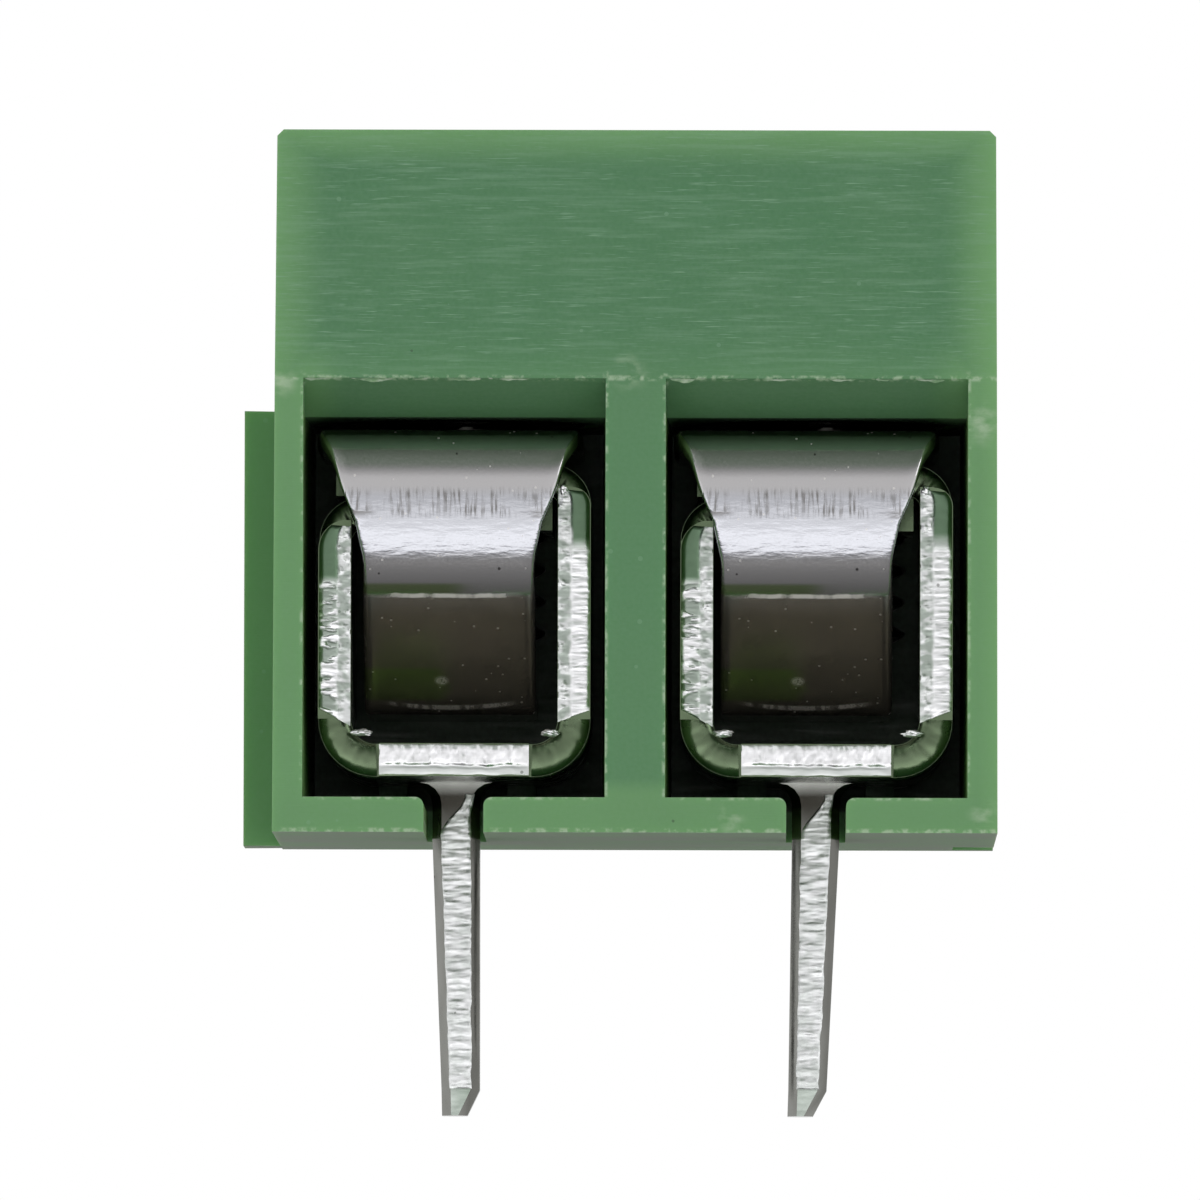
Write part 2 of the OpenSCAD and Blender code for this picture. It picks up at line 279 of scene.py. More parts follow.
# A soft band round one value.
band, given, result = newGroup("band", {"Value": 0.0, "Centre": 0.0, "Reach": 1.0, "Softness": 0.5}, ["Mask"])
away = calc(band, "ABSOLUTE", calc(band, "SUBTRACT", given["Value"], given["Centre"]))
outer = calc(band, "ADD", given["Reach"], given["Softness"])
band.links.new(rescale(band, away, given["Reach"], outer, 1.0, 0.0, smooth=True), result["Mask"])


def grainAt(tree, position, stretch, detail, low, high):
    return useGroup(tree, grain, Position=position, Stretch=stretch, Detail=detail, Low=low, High=high)


def specksAt(tree, position, scale, size, share):
    return useGroup(tree, specks, Position=position, Scale=scale, Size=size, Share=share)["Mask"]


def bandAt(tree, value, centre, reach, softness, unit=1.0):
    return useGroup(tree, band, Value=value, Centre=centre * unit, Reach=reach * unit, Softness=softness * unit)["Mask"]


def startMaterial(name):
    material = bpy.data.materials.new(name)
    material.use_nodes = True
    tree = material.node_tree
    return material, tree, tree.nodes["Principled BSDF"]


def inPlace(tree):
    return put(tree, "TexCoord").outputs["Object"]


def axes(tree, position):
    return put(tree, "SeparateXYZ", {}, {0: position}).outputs


def feed(tree, shader, **values):
    for key, value in values.items():
        socket = shader.inputs[key.replace("_", " ")]
        if isinstance(value, bpy.types.NodeSocket):
            tree.links.new(value, socket)
        else:
            socket.default_value = value


def bump(tree, height, distance, strength):
    inputs = {"Height": height, "Distance": distance, "Strength": strength}
    return put(tree, "Bump", {}, inputs).outputs[0]


# Materials: places in millimetres, grains as (stretch, detail, low, high), specks as (scale, size, share).

plastic = {
    "deep": colour(0.067, 0.206, 0.087),
    "pale": colour(0.17, 0.375, 0.14),
    "cloud": colour(0.105, 0.235, 0.105),
    "inside": colour(0.17, 0.34, 0.1),
    "paintedDusk": colour(0.025, 0.04, 0.022),
    "scuff": colour(0.2, 0.37, 0.23),
    "pit": colour(0.03, 0.06, 0.03),
    "under": colour(0.06, 0.075, 0.05),
    "dirt": colour(0.16, 0.18, 0.145),
    "stress": colour(0.42, 0.55, 0.38),
    "clouds": ((500, 500, 700), 3.0, 0.35, 0.7),
    "fine": ((16000, 16000, 16000), 2.0, 0.3, 0.7),
    "streaks": ((2600, 2600, 52000), 2.0, 0.6, 0.76),
    "wipes": ((900, 900, 15000), 4.0, 0.5, 0.74),
    "torn": ((2600, 2600, 4200), 4.0, 0.45, 0.62),
    "crumbs": ((9000, 9000, 9000), 3.0, 0.48, 0.64),
    "dust": (2600.0, 0.09, 0.2),
    "pits": (1900.0, 0.05, 0.12),
    "rimReach": {"ends": 0.8, "top": 0.55},
    "belowRidge": (6.2, 7.2),
    "wallGlow": (4.0, 4.6),
    "sillGlow": (0.5, 0.9),
    "entrySides": (4.7, 4.8),
    "entryMouth": (-3.45, -3.3),
    "entryBack": (1.5, 1.8),
    "entryTop": (5.8, 6.0),
    "duskFrom": (-1.6, 0.6),
    "duskTo": (2.25, 2.3),
    "duskHeights": (3.16, 2.7, 0.05),
    "mouthEdges": (0.42, 4.66),
    "sillEdge": 0.49,
    "ridgeEdge": 6.37,
    "soleEdge": 0.02,
    "burr": (0.012, 0.045),
    "strained": (((4.85, -3.5, 5.75), 0.42), ((4.9, -3.5, 0.25), 0.3), ((-4.95, -3.5, 6.3), 0.3),
                 ((-0.1, -3.5, 6.45), 0.35), ((1.35, -3.5, 0.2), 0.3)),
    "roughness": (0.36, 0.55),
    "scatter": 0.25,
    "scatterReach": 0.0006,
}


def makePlastic(name, plan):
    material, tree, shader = startMaterial(name)
    position = inPlace(tree)
    base = plan["deep"]

    def paint(title, *amounts):
        nonlocal base
        base = mixColour(tree, times(tree, *amounts), base, plan[title])

    def spread(title):
        return grainAt(tree, position, *plan[title])

    x, y, z = axes(tree, position)
    aside = calc(tree, "ABSOLUTE", x)
    facing = axes(tree, put(tree, "NewGeometry").outputs["Normal"])
    front = rescale(tree, times(tree, facing[1], -1.0), 0.85, 0.95)
    under = rescale(tree, times(tree, facing[2], -1.0), 0.7, 0.9)
    clouds, fine, streaks, wipes = (spread(title) for title in ("clouds", "fine", "streaks", "wipes"))
    # painted light: the rims of the block let light through, so a paler, yellower green is painted on them, weaker on
    # the left where the key light falls; below the ridge the thin walls near the ends and over the sill get the same
    # painted glow
    endRim = times(tree, bandAt(tree, aside, bodyHigh.x, 0.05, plan["rimReach"]["ends"], mm),
                   zone(tree, x, (-3.0, 3.0), 0.78, 1.0))
    topRim = times(tree, bandAt(tree, z, bodyHigh.z, 0.05, plan["rimReach"]["top"], mm), 0.8)
    lower = times(tree, zone(tree, z, plan["belowRidge"], 1.0, 0.0, smooth=True),
                  largest(tree, zone(tree, aside, plan["wallGlow"], 0.22, 0.8, smooth=True),
                          zone(tree, z, plan["sillGlow"], 0.8, 0.0, smooth=True)))
    rim = largest(tree, endRim, topRim, lower)
    paint("pale", rim, 0.82)
    paint("cloud", clouds["Mask"], 0.18)
    # painted light: the side walls inside the wire entries are painted a brighter, yellower green for the glow of the
    # thin walls, and further in it gets dark
    betweenEnds = zone(tree, aside, plan["entrySides"], 1.0, 0.0)
    paint("inside", zone(tree, y, plan["entryMouth"]), zone(tree, z, plan["entryTop"], 1.0, 0.0), betweenEnds,
          zone(tree, y, plan["entryBack"], 1.0, 0.0), rescale(tree, calc(tree, "ABSOLUTE", facing[0]), 0.5, 0.9))
    # painted shade: further in, the entries are painted near black
    paint("paintedDusk", zone(tree, y, plan["duskFrom"]), zone(tree, y, plan["duskTo"], 1.0, 0.0), betweenEnds,
          bandAt(tree, z, *plan["duskHeights"], mm), 0.85)
    onFace = times(tree, front, zone(tree, z, (6.2, 6.6)))
    mark = largest(tree, times(tree, streaks["Mask"], 0.78), times(tree, wipes["Mask"], 0.34))
    paint("scuff", mark, onFace)
    paint("scuff", specksAt(tree, position, *plan["dust"]), 0.35)
    paint("pit", specksAt(tree, position, *plan["pits"]), 0.6)
    sole = times(tree, under, zone(tree, z, (0.2, 0.3), 1.0, 0.0),
                 rescale(tree, clouds["Height"], 0.35, 0.65, 0.35, 0.85))
    # painted shade: faces turned downwards are painted darker
    paint("under", under, 0.3)
    paint("dirt", sole)
    # pale stress marks where the mould gate and the corners were strained
    spots = []
    for place, reach in plan["strained"]:
        away = distanceTo(tree, position, tuple(value * mm for value in place))
        spots.append(zone(tree, away, (0.0, reach), 1.0, 0.0, smooth=True))
    paint("stress", largest(tree, *spots), spread("torn")["Mask"], 0.75)
    # ragged pale burrs along the edges of the front
    aboveSill = zone(tree, z, (0.48, 0.5))
    overMouth = bandAt(tree, aside, 2.54, 2.1, 0.04, mm)
    burrs = []
    for value, centre, where in ((aside, plan["mouthEdges"][0], aboveSill),
                                 (aside, plan["mouthEdges"][1], aboveSill), (z, plan["sillEdge"], overMouth),
                                 (z, plan["ridgeEdge"], 1.0), (z, plan["soleEdge"], 1.0)):
        burrs.append(times(tree, bandAt(tree, value, centre, *plan["burr"], mm), where))
    paint("stress", largest(tree, *burrs), spread("crumbs")["Mask"], zone(tree, y, (-3.4, -3.3), 1.0, 0.0),
          zone(tree, z, (6.4, 6.5), 1.0, 0.0), 0.7)
    # a faint fine mottle all over
    paint("scuff", fine["Mask"], 0.1)
    rough = largest(tree, rescale(tree, wipes["Height"], 0.3, 0.7, *plan["roughness"]), times(tree, under, 0.8))
    relief = calc(tree, "ADD", times(tree, streaks["Height"], 0.7), times(tree, fine["Height"], 0.3))
    feed(tree, shader, Base_Color=base, Roughness=rough, Normal=bump(tree, relief, 0.000004, 0.6),
         Subsurface_Weight=plan["scatter"], Subsurface_Scale=plan["scatterReach"],
         Subsurface_Radius=(0.8, 1.0, 0.5), IOR=1.5)
    return material


greenPlastic = makePlastic("green_plastic", plastic)

flashPlastic = {
    "colour": colour(0.4, 0.52, 0.36),
    "dark": colour(0.14, 0.28, 0.13),
    "patches": ((5200, 3000, 9000), 4.0, 0.4, 0.62),
    "roughness": 0.5,
}


def makeFlashPlastic(name, plan):
    material, tree, shader = startMaterial(name)
    patches = grainAt(tree, inPlace(tree), *plan["patches"])
    base = mixColour(tree, patches["Mask"], plan["dark"], plan["colour"])
    feed(tree, shader, Base_Color=base, Roughness=plan["roughness"], Subsurface_Weight=0.3,
         Subsurface_Scale=0.0003, Subsurface_Radius=(0.8, 1.0, 0.5),
         Normal=bump(tree, patches["Height"], 0.00001, 0.6))
    return material


paleFlash = makeFlashPlastic("torn_green_plastic", flashPlastic)

metals = {
    # painted shade and painted reflection: the bends are a darker, greener copy of the brass, for the shade on their
    # rounded fronts and the green plastic they reflect
    "bend": {"colour": colour(0.16, 0.215, 0.13), "shade": colour(0.1, 0.135, 0.08), "roughness": (0.2, 0.36),
             "stretch": (2500, 2500, 2500), "lift": 0.000004, "tone": colour(0.1, 0.13, 0.08)},
    "rolled": {"colour": colour(0.62, 0.63, 0.6), "shade": colour(0.46, 0.47, 0.44), "roughness": (0.14, 0.3),
               "stretch": (1500, 5200, 1500), "lift": 0.0000025, "tone": colour(0.055, 0.052, 0.044)},
    "sheared": {"colour": colour(0.95, 0.945, 0.97), "shade": colour(0.74, 0.74, 0.75), "roughness": (0.3, 0.46),
                "stretch": (3000, 5000, 15000), "lift": 0.000004, "tone": colour(0.13, 0.2, 0.13)},
    "plated": {"colour": colour(0.76, 0.76, 0.74), "shade": colour(0.6, 0.6, 0.58), "roughness": (0.2, 0.36),
               "stretch": (4200, 4200, 4200), "lift": 0.000002, "tone": colour(0.05, 0.05, 0.045)},
}


def makeMetal(name, plan):
    material, tree, shader = startMaterial(name)
    position = inPlace(tree)
    marks = grainAt(tree, position, plan["stretch"], 3.0, 0.35, 0.68)
    patches = grainAt(tree, position, (900, 900, 900), 2.0, 0.35, 0.65)
    dust = specksAt(tree, position, 3100.0, 0.07, 0.16)
    amount = calc(tree, "ADD", times(tree, marks["Mask"], 0.55), times(tree, patches["Mask"], 0.3))
    base = mixColour(tree, amount, plan["colour"], plan["shade"])
    base = mixColour(tree, times(tree, dust, 0.6), base, colour(0.06, 0.055, 0.05))
    base = mixColour(tree, attribute(tree, "tone"), base, plan["tone"])  # the piece's tone says where its colour is painted darker, mostly as painted shade
    feed(tree, shader, Base_Color=base, Metallic=1.0,
         Roughness=rescale(tree, marks["Height"], 0.3, 0.7, *plan["roughness"]),
         Normal=bump(tree, marks["Height"], plan["lift"], 0.9))
    return material


rolledBrass = makeMetal("tinned_brass", metals["rolled"])
shearedBrass = makeMetal("sheared_brass", metals["sheared"])
paintedShadeBrass = makeMetal("painted_shade_brass", metals["bend"])
platedSteel = makeMetal("plated_steel", metals["plated"])

springSteel = {  # grains and specks lie on the strip: across and along it, in millimetres
    "colour": colour(0.505, 0.495, 0.5),
    "ramp": colour(0.235, 0.215, 0.18),
    "green": colour(0.2, 0.28, 0.1),
    "blue": colour(0.49, 0.5, 0.545),
    "shadow": colour(0.16, 0.166, 0.145),
    "line": colour(0.85, 0.82, 0.78),
    "scratch": colour(0.13, 0.12, 0.11),
    "dust": colour(0.05, 0.04, 0.04),
    "bite": ((24, 2.4, 1), 3.0, 0.46, 0.6),
    "patchy": ((2.6, 2.3, 1), 2.0, 0.34, 0.56),
    "smear": ((3.0, 10.0, 1), 3.0, 0.42, 0.6),
    "ripples": ((4.0, 13.0, 1), 3.0, 0.35, 0.65),
    "blotch": ((1.5, 2.5, 1), 2.0, 0.3, 0.5),
    "grit": ((30, 30, 1), 2.0, 0.35, 0.7),
    "wander": ((2.2, 2.2, 1), 2.0, 0.0, 1.0),
    "wobble": ((1.6, 0.0, 1), 3.0, 0.3, 0.7),
    "worn": ((5.0, 1.0, 1), 3.0, 0.3, 0.52),
    "darkSpecks": (3.0, 0.07, 0.4),
    "paleSpecks": (6.0, 0.1, 0.5),
    "roughness": (0.13, 0.22),
}


def makeSpringSteel(name, plan, marks):
    material, tree, shader = startMaterial(name)
    along, across = attribute(tree, "along"), attribute(tree, "across")
    strip = put(tree, "CombineXYZ", {}, {0: across, 1: along}).outputs[0]
    aside = calc(tree, "ABSOLUTE", across)
    base = plan["colour"]

    def paint(title, *amounts):
        nonlocal base
        base = mixColour(tree, times(tree, *amounts), base, plan[title])

    def spread(title):
        return grainAt(tree, strip, *plan[title])

    # short scratches along the strip where it slid over the tool
    scratch = times(tree, spread("bite")["Mask"], spread("patchy")["Mask"],
                    bandAt(tree, along, marks["scratches"], 0.1, 0.14))
    smear = times(tree, rescale(tree, aside, 0.95, 1.2, smooth=True),
                  bandAt(tree, along, marks["scratches"] + 0.14, 0.02, 0.06), spread("smear")["Mask"])
    scratch = largest(tree, scratch, smear)
    ripples, grit = spread("ripples")["Height"], spread("grit")["Height"]
    rippled = bandAt(tree, along, marks["ripples"], 0.34, 0.2)
    dust = specksAt(tree, strip, *plan["darkSpecks"])
    pale = times(tree, specksAt(tree, strip, *plan["paleSpecks"]), 0.4)
    # painted shade: from the crease on, deep in the cage, the ramp is painted dark brown and a little less metallic
    rampShade = rescale(tree, along, marks["crease"] - 0.3, marks["crease"] + 0.5, smooth=True)
    # painted reflection: a bluish tint on the rippled band
    paint("blue", rippled, 0.8)
    paint("ramp", rampShade)
    paintedDusk = rescale(tree, along, marks["hook"] + 0.3, marks["hook"] + 0.58, 1.0, 0.0, smooth=True)
    paint("shadow", paintedDusk)
    # painted reflection of the green plastic: one patch above the crease, one low on the left
    drift = calc(tree, "ADD", across, times(tree, spread("wander")["Height"], 0.5))
    aboveCrease = times(tree, bandAt(tree, along, marks["crease"] - 0.1, 0.05, 0.07),
                        rescale(tree, drift, 0.75, 0.15, smooth=True))
    lowLeft = times(tree, bandAt(tree, along, marks["heel"] - 0.42, 0.28, 0.12),
                    rescale(tree, drift, 0.3, 0.0, smooth=True))
    paint("green", largest(tree, aboveCrease, lowLeft), 0.8)
    # the crest of the crease, a worn edge with a painted glint, pale and matt, broken and faded out at the sides; with
    # it a painted highlight along the heel's bend and a painted reflection spot low on the strip
    sway = times(tree, calc(tree, "SUBTRACT", spread("wobble")["Height"], 0.5), 0.12)
    line = bandAt(tree, calc(tree, "ADD", along, sway), marks["crease"], 0.012, 0.03)
    arc = calc(tree, "ADD", along, times(tree, across, across, 0.12))
    heelLine = times(tree, bandAt(tree, arc, marks["heel"] + 0.08, 0.02, 0.05), 0.5)
    line = times(tree, largest(tree, line, heelLine), spread("worn")["Mask"],
                 rescale(tree, aside, 0.6, 1.1, 0.85, 0.0, smooth=True))
    spotPlace = distanceTo(tree, strip, (-0.12, marks["heel"] - 0.5, 0))
    spot = times(tree, rescale(tree, spotPlace, 0.05, 0.14, 1.0, 0.0, smooth=True), 0.35)
    line = largest(tree, line, spot)
    paint("line", line)
    paint("scratch", scratch, spread("blotch")["Mask"], 0.75)
    paint("dust", dust, 0.75)
    paint("line", pale)
    line = largest(tree, line, pale)
    rough = calc(tree, "ADD", rescale(tree, grit, 0.3, 0.7, *plan["roughness"]),
                 largest(tree, times(tree, scratch, 0.2), times(tree, line, 0.3)))
    solid = calc(tree, "SUBTRACT", rescale(tree, line, 0.0, 1.0, 1.0, 0.15), times(tree, rampShade, 0.14))
    relief = calc(tree, "ADD", times(tree, ripples, rippled, 1.3),
                  calc(tree, "ADD", times(tree, scratch, -0.6), times(tree, grit, 0.12)))
    feed(tree, shader, Base_Color=base, Metallic=solid, Roughness=rough, Normal=bump(tree, relief, 0.00001, 0.5))
    return material


print("materials made")

# Housing.

housing = {
    "edgeBevel": 0.035,
    "ridgeZ": 6.37,
    "flashDepth": 0.06,
    "flashHeight": 0.06,
    "flashStep": 0.02,
    "entryCentreGap": 2.14,
}

body = copyNode("housing", "housing_body")
bevelEdges(body, housing["edgeBevel"])
shrink(body, greenPlastic)
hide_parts("housing")
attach(body, "base")


def makeFlash(name, start, end, plan, seed):
    # a ragged skin of plastic that squeezed out along the edge over a wire entry
    count = int((end - start) / plan["flashStep"])
    points = []
    front = bodyLow.y + 0.002
    for index in range(count + 1):
        x = start + (end - start) * index / count
        fade = min(1.0, index / 6, (count - index) / 6)
        ragged = 0.3 + 0.9 * ripple(x * 2.3, seed, 0.0, 5) + 0.5 * ripple(x * 0.7, seed + 2.0)
        crest = max(0.25, 0.35 + 1.0 * ripple(x * 2.1, seed + 9.0, 0.0, 5))
        top = plan["ridgeZ"] + fade * plan["flashHeight"] * crest
        foot = plan["ridgeZ"] - fade * plan["flashHeight"] * max(0.16, ragged)
        out = front + 0.012 * (1 + ripple(x * 6.0, seed + 4.0))
        back = front + plan["flashDepth"]
        points += [(x, out + 0.01, top), (x, out, plan["ridgeZ"]), (x, out + 0.008, foot), (x, back, foot + 0.03),
                   (x, back, top)]
    flash = makePiece(name, points, ringFaces(count, 5, flip=True))
    cleanUp(flash)
    smoothShade(flash, 50)
    shrink(flash, paleFlash)
    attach(flash, "base")


for pole in poles:
    x = poleX[pole]
    makeFlash("entry_flash_" + pole, x - housing["entryCentreGap"], x + housing["entryCentreGap"], housing,
              3.0 + 7.0 * int(pole))
print("housing made")

# Cages: folded sheet, with the sheared edges as their own relief.

cage = {
    "sheet": 0.46,
    "halfWidth": (cageHigh.x - cageLow.x) / 2,
    "bottom": 0.8,
    "bevel": 0.03,
    "leftEdge": ((1.74, 1.5), (4.32, 4.3), (0.42, 3.98)),
    "rightEdge": ((1.56, 1.72), (4.84, 4.8), (0.26, 4.6)),
    "leftTone": (3.3, 3.7),
    "rightTone": (3.95, 4.2),
    "bendRadius": (0.57, 0.37),
    "bendBulge": 0.13,
    "bendFronts": (-2.75, -1.95),
    "bendHeights": (1.6, 4.16, 4.64),
    "tabHalf": 1.05,
    "tabBottom": 0.02,
    "pinTop": 0.64,
    "pinFlat": (0.42, 0.3),
    "pinLean": {"1": 0.08, "2": -0.12},
    "pinFront": 0.5,
    "pinTipFront": 0.4,
    "pinDarkShares": (1.0, 0.8, 0.62),  # on the neck, right, left
    "crumbs": {"left": ((-1.3, -2.92, 1.41), (0.14, 0.07, 0.05)), "right": ((1.35, -2.92, 1.41), (0.13, 0.07, 0.05)),
               "top": ((1.53, -3.034, 4.82), (0.06, 0.06, 0.07))},
}


def makeShearedFace(name, place, across, alongCount, relief, tone=None, depth=0.12):
    # place(u, v) gives the flat face's point, relief lifts it towards the wire side, tone darkens its colour
    points, faces, tones = [], [], []
    for j in range(alongCount + 1):
        for i in range(across + 1):
            u, v = i / across, j / alongCount
            x, y, z = place(u, v)
            border = min(1.0, 9 * min(u, 1 - u), 0.22 * alongCount * min(v, 1 - v))
            points.append((x, y - relief(u, v, x, z) * math.sqrt(max(0.0, border)), z))
            tones.append(tone(u, v, z) if tone else 0.0)
    row = across + 1
    for j in range(alongCount):
        for i in range(across):
            a = j * row + i
            faces.append((a, a + 1, a + row + 1, a + row))
    rim = [i for i in range(row)] + [j * row + across for j in range(1, alongCount + 1)]
    rim += [alongCount * row + i for i in range(across - 1, -1, -1)] + [j * row for j in range(alongCount - 1, 0, -1)]
    start = len(points)
    for index in rim:
        x, y, z = points[index]
        points.append((x, y + depth, z))
        tones.append(tones[index])
    for k in range(len(rim)):
        n = (k + 1) % len(rim)
        faces.append((rim[k], start + k, start + n, rim[n]))
    faces.append(tuple(range(start, start + len(rim))))
    patch = makePiece(name, points, faces)
    markPoints(patch, "tone", tones)
    smoothShade(patch, 60)
    return patch


def shearedRelief(seed, height, marksAcross, marksPerMm, torn=0, tone=None):
    # tool marks run across the edge, with a rough torn strip along one side (-1 left, 1 right);
    # where the tone is smooth the edge bulges as a rounded bend
    def lift(u, v, x, z):
        marks = ripple(u * marksAcross + seed, z * marksPerMm, seed, 3)
        coarse = ripple(u * marksAcross * 2.0 + seed, z * marksPerMm * 0.2, seed + 5.0, 2)
        rough = 0.0
        if torn:
            inTorn = ease(0.6, 0.74, u if torn > 0 else 1 - u)
            rough = inTorn * (-0.3 + 1.5 * ripple(u * 4.0, z * marksPerMm * 0.5, seed + 9.0, 3))
            rough -= 0.5 * math.exp(-((u if torn > 0 else 1 - u) - 0.62) ** 2 / 0.0016)
        cutLift = height * max(0.06, 0.7 + 0.62 * marks + 0.35 * coarse + rough)
        if tone is None:
            return cutLift
        smooth = tone(u, v, z)
        side = min(1.0, max(0.0, ((1 - u if torn > 0 else u) - 0.4) / 0.6))
        bulge = 0.055 * math.sqrt(max(0.0, 1 - (1 - 2 * side) ** 2)) + 0.004 * ripple(u * 2.0, z * 3.0, seed)
        return cutLift * (1 - smooth) + max(0.002, bulge) * smooth
    return lift


def tabRelief(seed, height, lumps):
    # a lumpy upper band, a groove, and a thin lower band
    def lift(u, v, x, z):
        groove = 0.28 + 0.05 * ripple(u * 5.0, seed)
        upper = ease(groove, groove + 0.1, v)
        lower = ease(groove - 0.02, groove - 0.08, v) if v < groove else 0.0
        bumps = 0.75 + 0.55 * ripple(u * lumps, v * 2.0, seed, 3)
        return height * max(0.05, upper * bumps + 0.35 * lower)
    return lift


def wallTone(side, seed, reachBand, spots):
    # painted shade and painted reflection of the green plastic: the outer part takes the dark, smooth look of the bend
    # towards the top
    def shade(u, v, z):
        outer = 1 - u if side < 0 else u
        edge = 0.4 + 0.08 * ripple(z * 2.3, seed, 0.0, 2)
        smooth = ease(edge - 0.05, edge + 0.06, outer)
        reach = reachBand[0] + (reachBand[1] - reachBand[0]) * (0.5 + 0.9 * ripple(z * 1.1, seed + 3.0))
        spotty = spots * ease(-0.2, 0.15, ripple(u * 1.2, z * 8.0, seed + 6.0, 3))
        grey = 0.2 + 0.45 * ease(-0.15, 0.3, ripple(u * 2.0, z * 7.0, seed + 8.0, 2))
        return min(1.0, smooth * max(ease(reach - 0.2, reach + 0.12, z), spotty) + grey * (1 - smooth))
    return shade


def makeBendBead(name, centre, front, angles, plan, radius, seed):
    # the smooth rounded front of a bend that stands back behind the sheared edges
    steps, across = 28, 14
    half = plan["sheet"] / 2 - 0.004
    points = []
    for i in range(steps + 1):
        angle = math.radians(angles[0] + (angles[1] - angles[0]) * i / steps)
        for k in range(across + 1):
            t = math.radians(-90 + 180 * k / across)
            dent = 1 + 0.1 * ripple(i * 0.35, k * 0.2, seed, 2)
            r = radius + half * math.sin(t)
            y = front - plan["bendBulge"] * math.cos(t) * dent if 0 < k < across else front + 0.02
            points.append((centre[0] + r * math.cos(angle), y, centre[1] + r * math.sin(angle)))
    bead = makePiece(name, points, ringFaces(steps, across + 1))
    cleanUp(bead)
    smoothShade(bead, 60)
    return bead


def makeLump(name, centre, size, seed):
    # a torn crumb of metal left where the tool broke through
    bpy.ops.mesh.primitive_ico_sphere_add(subdivisions=4, radius=1)
    lump = bpy.context.active_object
    lump.name = name
    for vertex in lump.data.vertices:
        at = vertex.co.copy()
        swell = 1 + 0.35 * ripple(at.x * 1.6 + seed, at.y * 1.6, at.z * 1.6)
        vertex.co = centre + Vector((at.x * size[0], at.y * size[1], at.z * size[2])) * swell
    smoothShade(lump, 60)
    return lump


def roundCorner(shell, side, x0, plan):
    # takes the upper outer corner off a wall's end, as the bend begins there
    reach, startZ = plan["leftEdge" if side < 0 else "rightEdge"][2]
    outer = plan["halfWidth"]
    outline = []
    for angle in range(0, 91, 10):
        a = math.radians(angle)
        outline.append((x0 + side * (outer - reach + reach * math.cos(a)), startZ + reach * math.sin(a)))
    outline += [(outline[-1][0], startZ + reach + 0.1), (x0 + side * (outer + 0.2), startZ + reach + 0.1),
                (x0 + side * (outer + 0.2), startZ)]
    count = len(outline)
    points = [(x, y, z) for y in (cageLow.y - 0.3, plan["bendFronts"][1] - 0.001) for x, z in outline]
    faces = [tuple(range(count)), tuple(range(2 * count - 1, count - 1, -1))]
    faces += [(k, k + count, (k + 1) % count + count, (k + 1) % count) for k in range(count)]
    cutter = makePiece("corner_cutter", points, faces)
    cleanUp(cutter)
    cutAway(shell, cutter)


